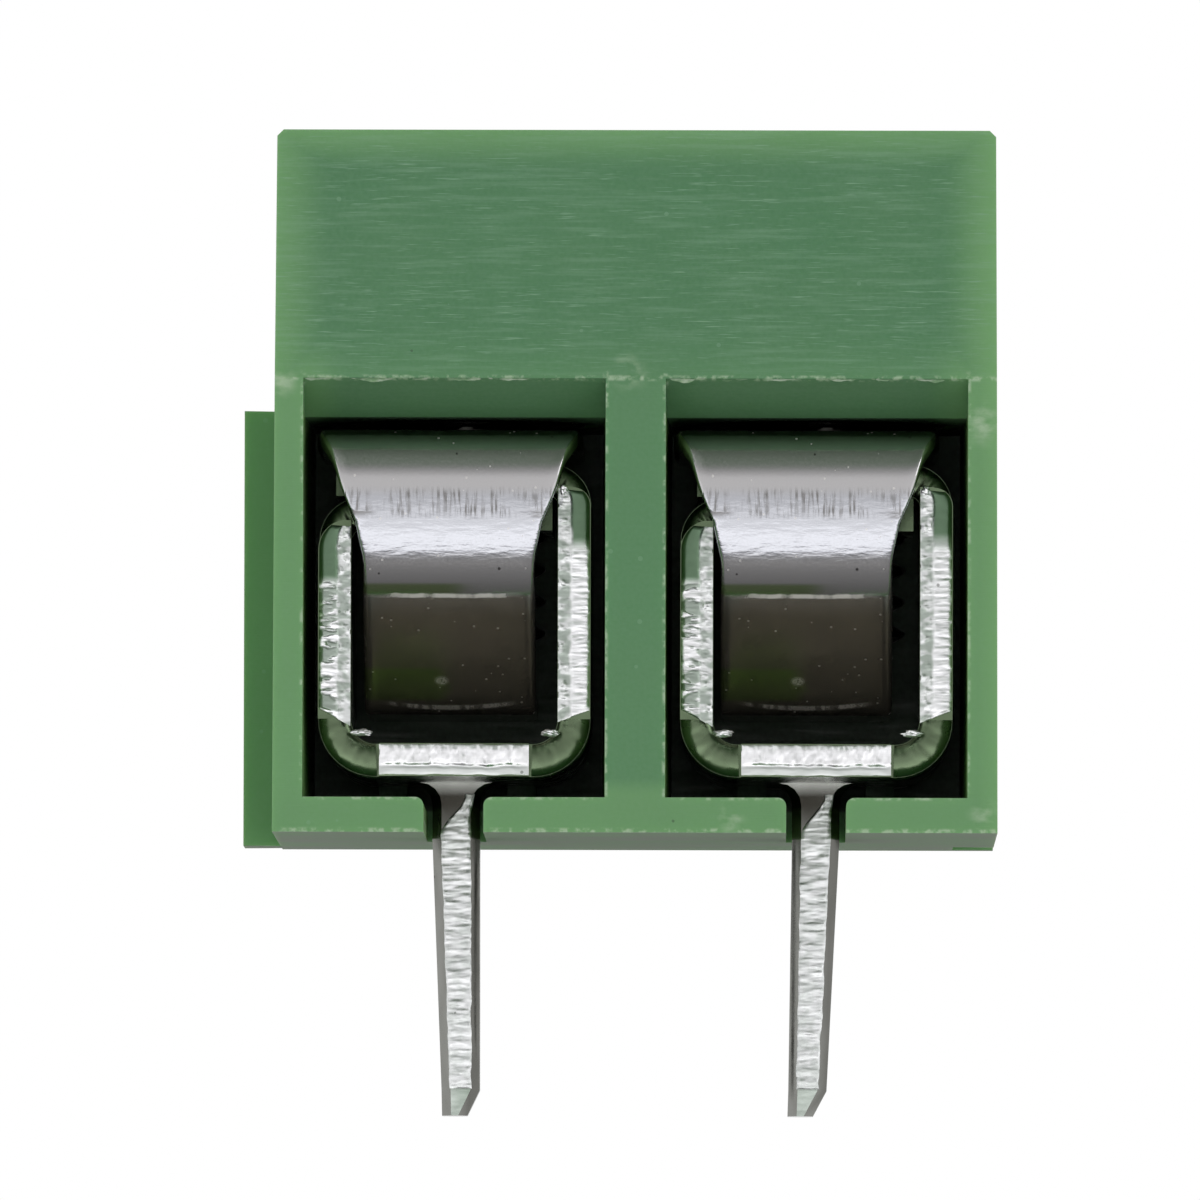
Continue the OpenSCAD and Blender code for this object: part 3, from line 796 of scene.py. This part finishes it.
def makeCage(pole, plan):
    x0 = poleX[pole]
    seed = 11.0 * int(pole)
    shell = copyNode("cage_" + pole, "cage_body_" + pole)
    for side in (-1, 1):
        roundCorner(shell, side, x0, plan)
    cleanUp(shell, flatAngle=0.4)
    bevelEdges(shell, plan["bevel"])
    # painted shade: the pin's neck, in its slot, is painted darker than the cage; the pin's sides are darkened too, the
    # right more than the left
    pinDarkening = []
    for vertex in shell.data.vertices:
        share = plan["pinDarkShares"][0 if vertex.co.z > 0.1 else 1 if vertex.co.x > x0 + 0.05 else 2]
        pinDarkening.append(share * ease(0.85, 0.6, vertex.co.z))
    markPoints(shell, "tone", pinDarkening)
    shell.data.transform(Matrix.Scale(mm, 4))
    shell.data.materials.clear()
    for material in (rolledBrass, shearedBrass, paintedShadeBrass):
        shell.data.materials.append(material)
    for face in shell.data.polygons:
        onNeck = 0.1 * mm < face.center.z < plan["bottom"] * mm
        if abs(face.normal.y) > 0.9 and not onNeck:
            # the front faces at the mouth take the brass with painted shade, like the bends
            atMouth = face.normal.y < 0 and face.center.z > plan["bottom"] * mm
            face.material_index = 2 if atMouth else 1
    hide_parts("cage_" + pole)
    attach(shell, "base")
    front = cageLow.y - 0.004
    inner = plan["halfWidth"] - plan["sheet"]
    outer = plan["halfWidth"]

    def wallEdge(side, lows, highs, corner):
        # each end of the edge runs slanting from its left to its right side, its outer corner rounded
        def place(u, v):
            low = lows[0] + (lows[1] - lows[0]) * u
            high = highs[0] + (highs[1] - highs[0]) * u
            z = low + (high - low) * v
            rise = min(1.0, max(0.0, (z - corner[1]) / corner[0]))
            inset = 0.012 + corner[0] * (1 - math.sqrt(max(0.0, 1 - rise * rise)))
            wave = 0.03 * ripple(z * 1.7, side * 3.0 + seed)
            a, b = (-outer + inset, -inner - 0.005) if side < 0 else (inner + 0.005, outer - inset)
            return x0 + a + (b - a) * u + wave * (1 - abs(2 * u - 1)) * 0.6, front, z
        return place

    def tab(u, v):
        x = x0 - plan["tabHalf"] + 2 * plan["tabHalf"] * u
        low = plan["bottom"] + plan["tabBottom"]
        high = plan["bottom"] + plan["sheet"] - 0.015
        return x, front, low + (high - low) * v + 0.02 * ripple(x * 2.3, seed)

    def pinFace(u, v):
        z = cageLow.z + 0.38 + (plan["pinTop"] - cageLow.z - 0.38) * v
        share = max(0.0, z / cageLow.z)
        width = plan["pinFlat"][0] + (plan["pinFlat"][1] - plan["pinFlat"][0]) * share
        y = -plan["pinFront"] + (plan["pinFront"] - plan["pinTipFront"]) * share
        left = -width / 2 + (width * 0.8) * ease(0.05, 0.64, z)
        right = width / 2 + 0.05 * ease(0.3, 0.64, z)
        x = x0 + plan["pinLean"][pole] * share + left + (right - left) * u
        return x + 0.02 * ripple(z * 2.6, u, seed), y - 0.004, z

    # painted shade: a darker, ragged band along the tab's lower edge
    def tabTone(u, v, z):
        return 0.34 * ease(0.34, 0.24, v + 0.05 * ripple(u * 8.0, seed + 15.0))

    leftTone = wallTone(-1, seed, plan["leftTone"], 0.72)
    rightTone = wallTone(1, seed + 2.0, plan["rightTone"], 0.12)

    def pinTone(u, v, z):
        return 0.17 + 0.18 * ease(-0.3, 0.4, ripple(u * 2.0, z * 6.0, seed + 20.0))

    pieces = [
        makeShearedFace("cage_left_edge_" + pole, wallEdge(-1, *plan["leftEdge"]), 26, 250,
                        shearedRelief(seed, 0.026, 1.1, 14, 1, leftTone), leftTone),
        makeShearedFace("cage_right_edge_" + pole, wallEdge(1, *plan["rightEdge"]), 26, 290,
                        shearedRelief(seed + 2.0, 0.026, 1.1, 14, -1, rightTone), rightTone),
        makeShearedFace("cage_tab_edge_" + pole, tab, 150, 26, tabRelief(seed + 4.0, 0.035, 26), tabTone),
        makeShearedFace("pin_edge_" + pole, pinFace, 14, 300, shearedRelief(seed + 6.0, 0.022, 1.2, 13), pinTone),
    ]
    for number, (title, (place, size)) in enumerate(plan["crumbs"].items()):
        centre = Vector((x0, 0, 0)) + Vector(place)
        pieces.append(makeLump("cage_" + title + "_crumb_" + pole, centre, size, seed + number))
    lower, upper = plan["bendRadius"]
    lowFront, topFront = plan["bendFronts"]
    lowZ, leftZ, rightZ = plan["bendHeights"]
    beads = [
        ("cage_bend_low_left_", (x0 - outer + lower + 0.23, lowZ), lowFront, (180, 272), lower),
        ("cage_bend_low_right_", (x0 + outer - lower - 0.23, lowZ), lowFront, (360, 268), lower),
        ("cage_bend_top_left_", (x0 - outer + upper + 0.23, leftZ), topFront, (180, 92), upper),
        ("cage_bend_top_right_", (x0 + outer - upper - 0.23, rightZ), topFront, (0, 88), upper),
    ]
    for title, centre, face, angles, radius in beads:
        bead = makeBendBead(title + pole, centre, face, angles, plan, radius, seed)
        # the bends' rounded fronts take the brass with painted shade
        shrink(bead, paintedShadeBrass)
        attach(bead, "base")
    for piece in pieces:
        shrink(piece, shearedBrass)
        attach(piece, "base")


for pole in poles:
    makeCage(pole, cage)
print("cages made")

# Wire guards: a spring strip, hooked over the cage's top and bowed into it.

guard = {
    "sheet": 0.28,
    "topHalf": (guardHigh.x - guardLow.x) / 2,
    "tongueHalf": 1.21,
    "neck": 1.9,
    "narrowing": ((0, 1), (0.1, 0.88), (0.22, 0.68), (0.31, 0.58), (0.455, 0.45), (0.6, 0.27), (0.68, 0.16),
                  (0.8, 0.09), (0.94, 0.01), (1, 0)),
    "flangeTaper": 1.1,
    "backInset": 0.2,
    "hookRadius": 0.6,
    "drop": 0.1,
    "curve": 40,
    "crease": (12, 0.25),
    "ramp": 2.36,
    "heelRadius": 0.4,
    "tongue": 2.5,
    "edgeRound": 0.07,
    "across": 26,
    "step": 0.05,
    "arcStep": 3,
    "holeRadius": 1.4,
    "tongueEnd": 0.0012,
}


def curveRadius(plan):
    # the long curve takes up the height that the other stretches leave
    bow = math.radians(plan["curve"] + plan["crease"][0])
    creaseDrop = plan["crease"][1] * (math.sin(bow) - sinOf(plan["curve"]))
    heelDrop = plan["heelRadius"] * (1 - math.sin(bow))
    height = guardHigh.z - guardLow.z - plan["sheet"]
    left = height - plan["hookRadius"] - plan["drop"] - creaseDrop - plan["ramp"] * math.cos(bow) - heelDrop
    return left / sinOf(plan["curve"])


def walkStrip(plan, start, heading):
    # the strip's middle line as (y, z, heading, distance), bent step by step
    y, z, distance = start[0], start[1], 0.0
    hookRun = start[0] - (guardLow.y + plan["sheet"] / 2) - plan["hookRadius"]
    bow = plan["curve"] + plan["crease"][0]
    steps = [(hookRun, 90, plan["hookRadius"]), (plan["drop"], plan["curve"], curveRadius(plan)),
             (0.0, *plan["crease"]), (plan["ramp"], 90 - bow, plan["heelRadius"]),
             (plan["tongue"], 0, 1.0)]
    stations = [(y, z, heading, 0.0)]
    for run, turn, radius in steps:
        parts = max(1, int(run / plan["step"])) if run else 0
        for _ in range(parts):
            y += run / parts * cosOf(heading)
            z += run / parts * sinOf(heading)
            distance += run / parts
            stations.append((y, z, heading, distance))
        turns = int(turn / plan["arcStep"])
        for _ in range(turns):
            chord = 2 * radius * sinOf(turn / turns / 2)
            middle = heading + turn / turns / 2
            y += chord * cosOf(middle)
            z += chord * sinOf(middle)
            heading += turn / turns
            distance += radius * math.radians(turn / turns)
            stations.append((y, z, heading, distance))
    return stations


def makeGuard(pole, plan):
    x0 = guardX[pole]
    half = plan["sheet"] / 2
    start = (cageHigh.y - plan["backInset"], guardHigh.z - half)
    stations = walkStrip(plan, start, 180)
    rounding = plan["edgeRound"]
    count = plan["across"]
    points, marks = [], []
    hookStart = start[0] - (guardLow.y + half) - plan["hookRadius"]
    for y, z, heading, distance in stations:
        share = min(1.0, max(0.0, (guardHigh.z - z) / plan["neck"]))
        for (a, wide), (b, narrow) in zip(plan["narrowing"], plan["narrowing"][1:]):
            if a <= share <= b:
                width = wide + (narrow - wide) * (share - a) / (b - a)
        width = plan["tongueHalf"] + (plan["topHalf"] - plan["tongueHalf"]) * width
        if heading <= 180:
            flare = ease(hookStart - plan["flangeTaper"], hookStart, start[0] - y)
            width = plan["topHalf"] + (width - plan["topHalf"]) * flare
        # the strip's outer side, towards the wire
        out = Vector((0, sinOf(heading), -cosOf(heading)))
        loop = []
        for k in range(count + 1):
            u = -1 + 2 * k / count
            loop.append((u * (width - rounding), half, u))
        for angle in (30, 60, 90):
            loop.append((width - rounding + rounding * sinOf(angle),
                         half - rounding * (1 - cosOf(angle)), 1.0))
        loop.append((width, -half + rounding, 1.0))
        for k in range(count // 2 + 1):
            u = 1 - 4 * k / count
            loop.append((u * (width - rounding), -half, u))
        loop.append((-width, -half + rounding, -1.0))
        for angle in (90, 60, 30):
            loop.append((-(width - rounding + rounding * sinOf(angle)),
                         half - rounding * (1 - cosOf(angle)), -1.0))
        for x, offset, u in loop:
            at = Vector((x0 + x, y, z)) + out * offset
            points.append(tuple(at))
            marks.append((distance, x))
    leaf = makePiece("guard_strip_" + pole, points, ringFaces(len(stations) - 1, len(loop), flip=True))
    cleanUp(leaf)
    bpy.ops.mesh.primitive_cylinder_add(vertices=64, radius=plan["holeRadius"], depth=1.2,
                                        location=(poleX[pole], 0, guardHigh.z))
    cutAway(leaf, bpy.context.active_object)
    tree = KDTree(len(points))
    for index, point in enumerate(points):
        tree.insert(point, index)
    tree.balance()
    nearest = [tree.find(vertex.co)[1] for vertex in leaf.data.vertices]
    for title, column in (("along", 0), ("across", 1)):
        markPoints(leaf, title, [marks[index][column] for index in nearest])
    smoothShade(leaf, 40)
    curveStart = hookStart + plan["hookRadius"] * math.pi / 2 + plan["drop"]
    creaseAt = curveStart + curveRadius(plan) * math.radians(plan["curve"])
    material = makeSpringSteel("spring_steel_" + pole, springSteel, {
        "hook": hookStart,
        "scratches": curveStart + 0.2,
        "ripples": curveStart + 0.5,
        "crease": creaseAt + 0.03,
        "heel": creaseAt + plan["ramp"],
    })
    shrink(leaf, material)
    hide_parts("wire_guard_" + pole)
    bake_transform(leaf)


for pole in poles:
    makeGuard(pole, guard)
print("wire guards made")

# Screws: a real thread under a cross and slot head.

screw = {
    "threadRadius": 1.25,
    "rootRadius": 1.0,
    "pitch": 0.45,
    "tipRadius": 0.55,
    "headZ": 5.84,
    "headRadius": (screwHigh.x - screwLow.x) / 2,
    "headBevel": 0.25,
    "slotWidth": 0.6,
    "slotDepth": 0.9,
    "crossLength": 2.4,
    "around": 64,
    "perTurn": 10,
    "edge": 0.04,
}


def turnedPiece(name, profile, around):
    # a closed solid turned from (radius, z) points, the first and last on the axis
    points, faces = [], []
    for index in range(around):
        angle = 2 * math.pi * index / around
        for radius, z in profile[1:-1]:
            points.append((radius * math.cos(angle), radius * math.sin(angle), z))
    size = len(profile) - 2
    points += [(0, 0, profile[0][1]), (0, 0, profile[-1][1])]
    foot, top = len(points) - 2, len(points) - 1
    for index in range(around):
        a, b = index * size, (index + 1) % around * size
        for k in range(size - 1):
            faces.append((a + k, b + k, b + k + 1, a + k + 1))
        faces.append((foot, b, a))
        faces.append((top, a + size - 1, b + size - 1))
    return makePiece(name, points, faces)


def makeThread(plan):
    points = []
    low, high = screwLow.z, plan["headZ"] + 0.1
    rows = int((high - low) / plan["pitch"] * plan["perTurn"])
    around = plan["around"]
    for j in range(rows + 1):
        z = low + (high - low) * j / rows
        limit = plan["tipRadius"] + (z - low)
        for i in range(around):
            angle = 2 * math.pi * i / around
            phase = (z / plan["pitch"] - i / around) % 1.0
            crest = min(1.0, max(0.0, 1.25 - abs(phase - 0.5) * 3.4))
            radius = plan["rootRadius"] + (plan["threadRadius"] - plan["rootRadius"]) * crest
            radius = min(radius, limit)
            points.append((radius * math.cos(angle), radius * math.sin(angle), z))
    return makePiece("screw_thread", points, ringFaces(rows, around))


def makeScrew(pole, plan):
    radius, bevel, top = plan["headRadius"], plan["headBevel"], screwHigh.z
    foot = plan["headZ"]
    profile = [(0, foot), (radius - bevel / 2, foot), (radius, foot + bevel / 2), (radius, top - bevel)]
    for angle in (30, 60, 90):
        profile.append((radius - bevel + bevel * cosOf(angle),
                        top - bevel + bevel * sinOf(angle)))
    profile.append((0, top))
    head = turnedPiece("screw_" + pole + "_head", profile, plan["around"])
    cleanUp(head)
    depth = plan["slotDepth"]
    for sizeX, sizeY in ((4 * radius, plan["slotWidth"]), (plan["slotWidth"], plan["crossLength"])):
        bpy.ops.mesh.primitive_cube_add(size=1, location=(0, 0, top - depth / 2 + 0.25))
        cutter = bpy.context.active_object
        cutter.scale = (sizeX, sizeY, depth + 0.5)
        bpy.context.view_layer.update()
        cutAway(head, cutter)
    cleanUp(head)
    bevelEdges(head, plan["edge"], 40)
    thread = makeThread(plan)
    smoothShade(thread, 50)
    joinPieces(head, thread)
    head.data.transform(Matrix.Translation((poleX[pole], 0, 0)))
    # painted shade: the head's underside lies in the dark of its well and is painted darker
    markPoints(head, "tone", [1 - ease(foot + 0.1, foot + 0.6, vertex.co.z) for vertex in head.data.vertices])
    shrink(head, platedSteel)
    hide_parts("screw_" + pole)
    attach(head, "turning_screw_" + pole)


for pole in poles:
    makeScrew(pole, screw)
print("screws made")

# Floor, light and camera.

studio = {
    "floorSize": 2.0,
    "floorColour": colour(0.86, 0.86, 0.85),
    "around": 0.55,
    "keyPower": 0.30,
    "fillPower": 0.16,
    "cardRadius": 0.12,
    "cardHalf": 0.15,
}

reach = studio["floorSize"] / 2
floorZ = (cageLow.z - 0.02) * mm
floor = makePiece("floor", [(-reach, -reach, floorZ), (reach, -reach, floorZ), (reach, reach, floorZ),
                            (-reach, reach, floorZ)], [(0, 1, 2, 3)])
floorMaterial, tree, shader = startMaterial("floor_paint")
shader.inputs["Base Color"].default_value = studio["floorColour"]
shader.inputs["Roughness"].default_value = 0.9
under = put(tree, "NewGeometry").outputs["Backfacing"]
mirrored = put(tree, "LightPath").outputs["Is Glossy Ray"]
clear = put(tree, "BsdfTransparent")
choice = put(tree, "MixShader", {}, {0: calc(tree, "MAXIMUM", under, mirrored), 1: shader.outputs[0],
                                     2: clear.outputs[0]})
tree.links.new(choice.outputs[0], tree.nodes["Material Output"].inputs["Surface"])
floor.data.materials.append(floorMaterial)

# a curved card in front, seen only in the metal: dark above, white below
cardStops = ((-90, 0.1), (-80, 0.11), (-70, 0.18), (-60, 0.26), (-50, 0.32), (-45, 0.5), (-41, 1.75), (-28, 1.8),
             (-24, 1.35), (-11, 1.22), (-6, 0.93), (0, 0.9), (12, 0.86), (22, 0.58), (33, 0.32), (45, 0.22),
             (70, 0.16), (90, 0.1))
cardPoints, cardFaces, cardLevels = [], [], []
for degree in range(-90, 91, 2):
    angle = math.radians(degree)
    for side in (-1, 1):
        cardPoints.append((side * studio["cardHalf"], -studio["cardRadius"] * math.cos(angle),
                           studio["cardRadius"] * math.sin(angle)))
        for (a, va), (b, vb) in zip(cardStops, cardStops[1:]):
            if a <= degree <= b:
                level = va + (vb - va) * (degree - a) / (b - a)
        cardLevels.append(level)
for index in range(90):
    a = 2 * index
    cardFaces.append((a, a + 1, a + 3, a + 2))
card = makePiece("reflector_card", cardPoints, cardFaces)
markPoints(card, "level", cardLevels)
cardMaterial, tree, shader = startMaterial("reflector_card")
tint = mixColour(tree, zone(tree, axes(tree, inPlace(tree))[2], (55, 85)), colour(1, 1, 1), colour(0.78, 1.0, 0.76))
glow = put(tree, "Emission", {}, {"Color": tint, "Strength": attribute(tree, "level")})
tree.links.new(glow.outputs[0], tree.nodes["Material Output"].inputs["Surface"])
card.data.materials.append(cardMaterial)
for ray in ("camera", "diffuse", "transmission", "volume_scatter", "shadow"):
    setattr(card, "visible_" + ray, False)

world = bpy.data.worlds.new("studio")
scene.world = world
world.use_nodes = True
tree = world.node_tree
backdrop = tree.nodes["Background"]
backdrop.inputs["Color"].default_value = colour(1, 1, 1)
rays = put(tree, "LightPath").outputs
seen = largest(tree, rays["Is Camera Ray"], rays["Is Glossy Ray"], rays["Is Transmission Ray"])
tree.links.new(rescale(tree, seen, 0.0, 1.0, studio["around"], 1.0), backdrop.inputs["Strength"])


def addSoftbox(name, place, size, power):
    lamp = bpy.data.lights.new(name, "AREA")
    lamp.shape = "RECTANGLE"
    lamp.size, lamp.size_y = size
    lamp.energy = power
    lampObject = bpy.data.objects.new(name, lamp)
    lampObject.location = place
    lampObject.rotation_euler = (Vector((0, 0, 0.003)) - Vector(place)).to_track_quat("-Z", "Y").to_euler()
    scene.collection.objects.link(lampObject)
    return lampObject


addSoftbox("key_softbox", (-0.16, -0.22, 0.24), (0.2, 0.2), studio["keyPower"])
addSoftbox("fill_softbox", (0.24, -0.18, 0.1), (0.2, 0.2), studio["fillPower"])

view = {"place": (1.90, -343.2, -11.4), "look": (-0.00704, 0.99905, 0.0431), "lens": 728.3, "roll": 0.15}
cameraData = bpy.data.cameras.new("camera")
cameraData.lens = view["lens"]
cameraData.sensor_width = 36.0
cameraData.clip_start = 0.01
cameraData.clip_end = 10.0
camera = bpy.data.objects.new("camera", cameraData)
camera.location = Vector(view["place"]) * mm
turn = Vector(view["look"]).to_track_quat("-Z", "Y").to_matrix().to_4x4()
camera.rotation_euler = (turn @ Matrix.Rotation(math.radians(view["roll"]), 4, "Z")).to_euler()
scene.collection.objects.link(camera)
scene.camera = camera
scene.view_settings.view_transform = "Standard"
print("studio made")
